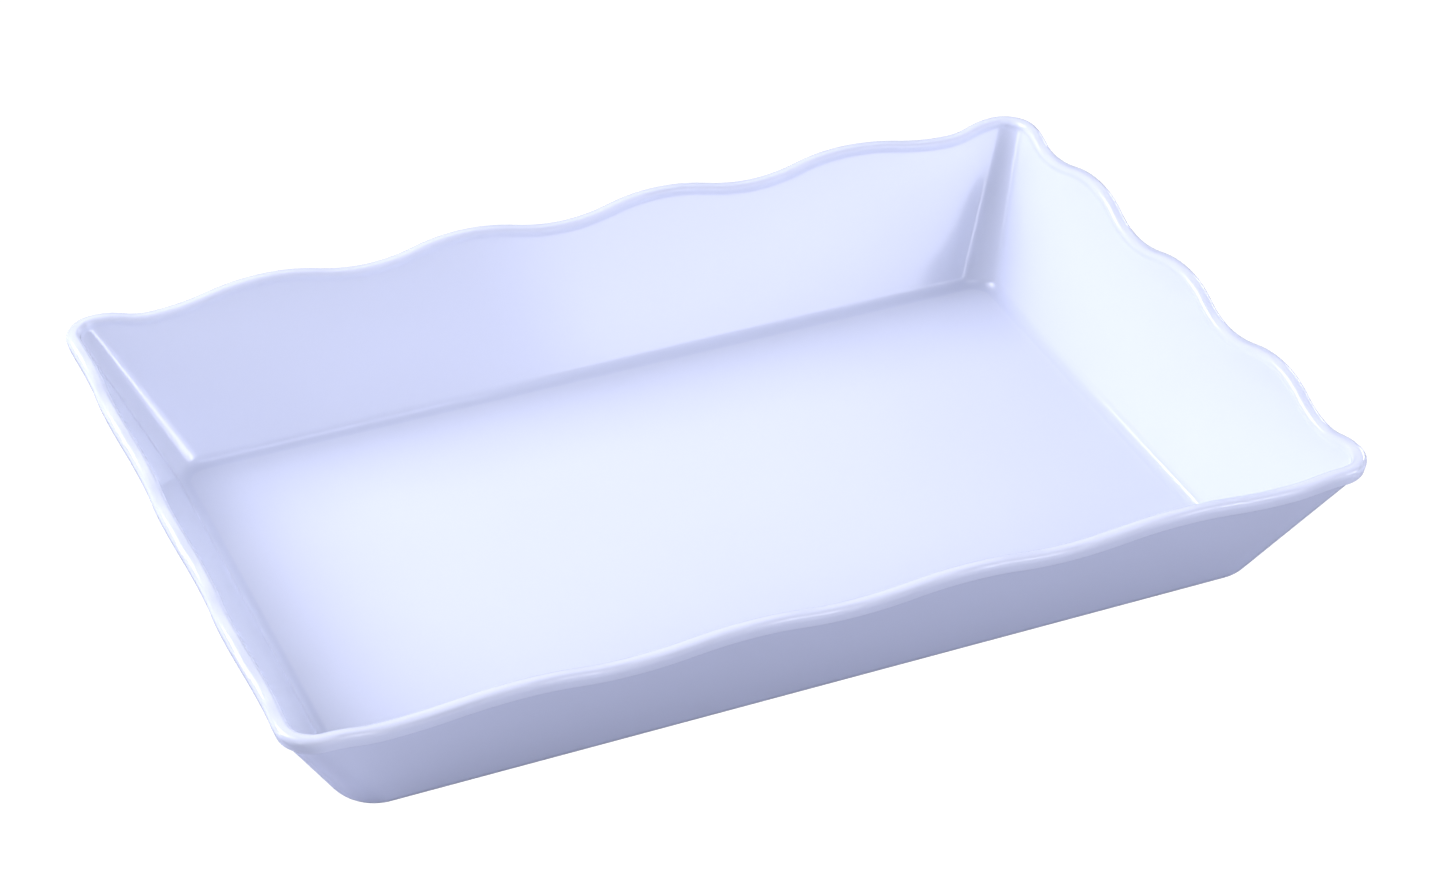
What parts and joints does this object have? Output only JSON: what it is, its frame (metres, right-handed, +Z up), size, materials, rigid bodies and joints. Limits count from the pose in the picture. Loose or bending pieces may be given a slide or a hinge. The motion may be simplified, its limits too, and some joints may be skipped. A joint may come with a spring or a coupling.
{
  "type": "serving dish",
  "caption": "Deep rectangular white glazed china serving dish with flat leaning walls, a scalloped rolled rim and a low bare foot ring.",
  "frame": {"origin": "middle of the level plane that the foot ring stands on", "axes": "+Z up out of the dish, +X along its length, +Y across its width"},
  "size_m": [0.3836, 0.2688, 0.0604],
  "materials": {
    "fired_clay": "matte",
    "white_glaze": "gloss"
  },
  "bodies": {
    "root": {"china_body": "fired_clay", "glaze_coat": "white_glaze", "glaze_underside": "white_glaze"}
  },
  "joints": []
}
